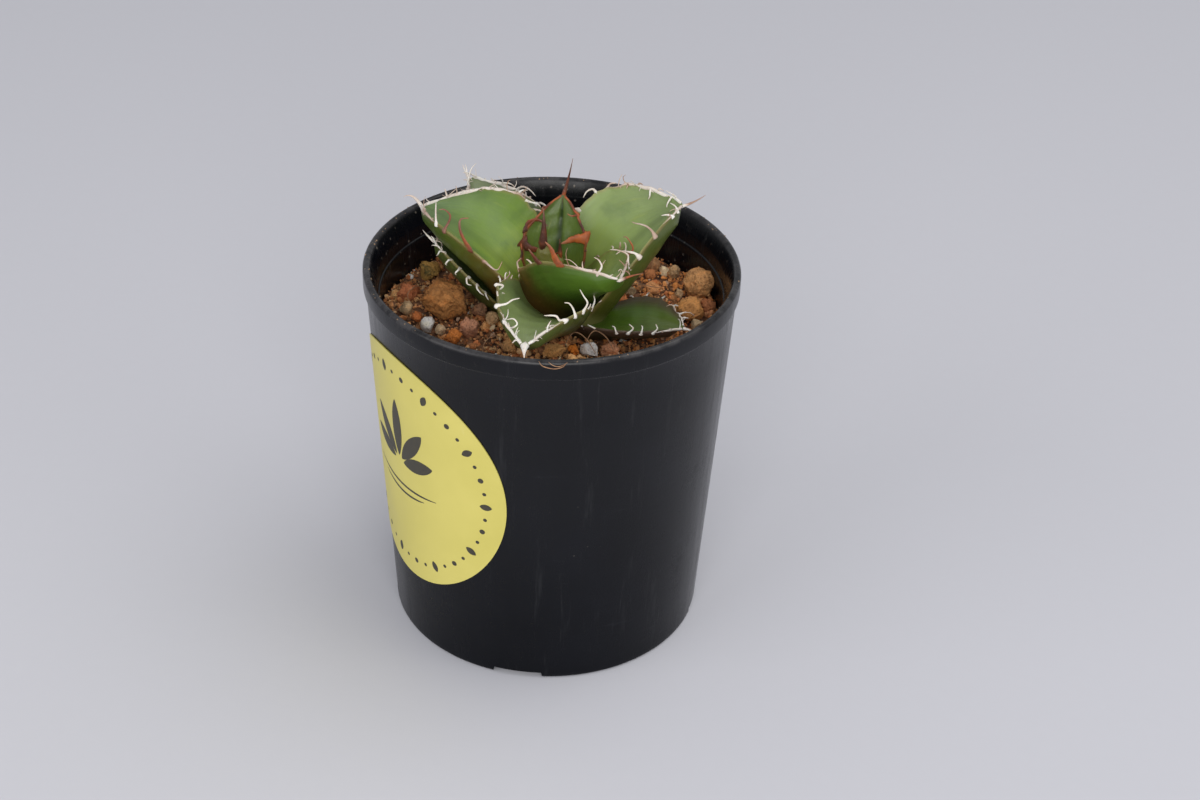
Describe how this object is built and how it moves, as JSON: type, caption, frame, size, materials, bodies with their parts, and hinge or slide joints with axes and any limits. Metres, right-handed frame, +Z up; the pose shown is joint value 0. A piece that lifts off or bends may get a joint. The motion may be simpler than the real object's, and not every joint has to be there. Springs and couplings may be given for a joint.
{
  "type": "potted agave",
  "caption": "Small spiny agave rosette growing in gritty substrate in a black tapered nursery pot with a round sticker on its wall",
  "frame": {"origin": "centre of the pot's foot, on the surface that it stands on", "axes": "+Z up along the pot's axis, +X to the viewer's right with the round label at the front left, +Y to the back"},
  "size_m": [0.075, 0.075, 0.0983],
  "materials": {
    "pot_plastic": "satin black moulded polypropylene with fine vertical scuffs",
    "label_paper": null,
    "substrate_mix": "granular mix of baked clay and pumice, matt",
    "stem_skin": "pale brown fibrous stem and roots",
    "leaf_skin": "waxy green leaf with pale horny margin and teeth",
    "bud_skin": "rolled young leaves, red-brown tips",
    "pebble": "rough dusty pebble",
    "pumice": "pale porous pumice",
    "grain": "matt baked clay grain"
  },
  "bodies": {
    "root": {"bud": "bud_skin", "grain_amber_front": "grain", "grain_back": "grain", "grain_back_left": "grain", "grain_back_right": "grain", "grain_brown_front": "grain", "grain_buff_right": "grain", "grain_cream_front": "grain", "grain_cream_right": "grain", "grain_grey_brown": "grain", "grain_moss_yellow": "grain", "grain_orange": "grain", "grain_pale_front": "grain", "grain_pink": "grain", "grain_red_left": "grain", "grain_rust_left": "grain", "grain_rust_right": "grain", "grain_sand_front": "grain", "grain_sand_right": "grain", "grain_tan_front": "grain", "label": "label_paper", "leaf_1": "leaf_skin", "leaf_2": "leaf_skin", "leaf_3": "leaf_skin", "leaf_4": "leaf_skin", "leaf_5": "leaf_skin", "leaf_6": "leaf_skin", "leaf_7": "leaf_skin", "leaf_8": "leaf_skin", "pebble_brown": "pebble", "pebble_ochre": "pebble", "pebble_tan": "pebble", "pot": "pot_plastic", "pumice_front": "pumice", "pumice_left": "pumice", "pumice_pale_left": "pumice", "pumice_right": "pumice", "stem_and_roots": "stem_skin", "substrate": "substrate_mix"}
  },
  "joints": []
}
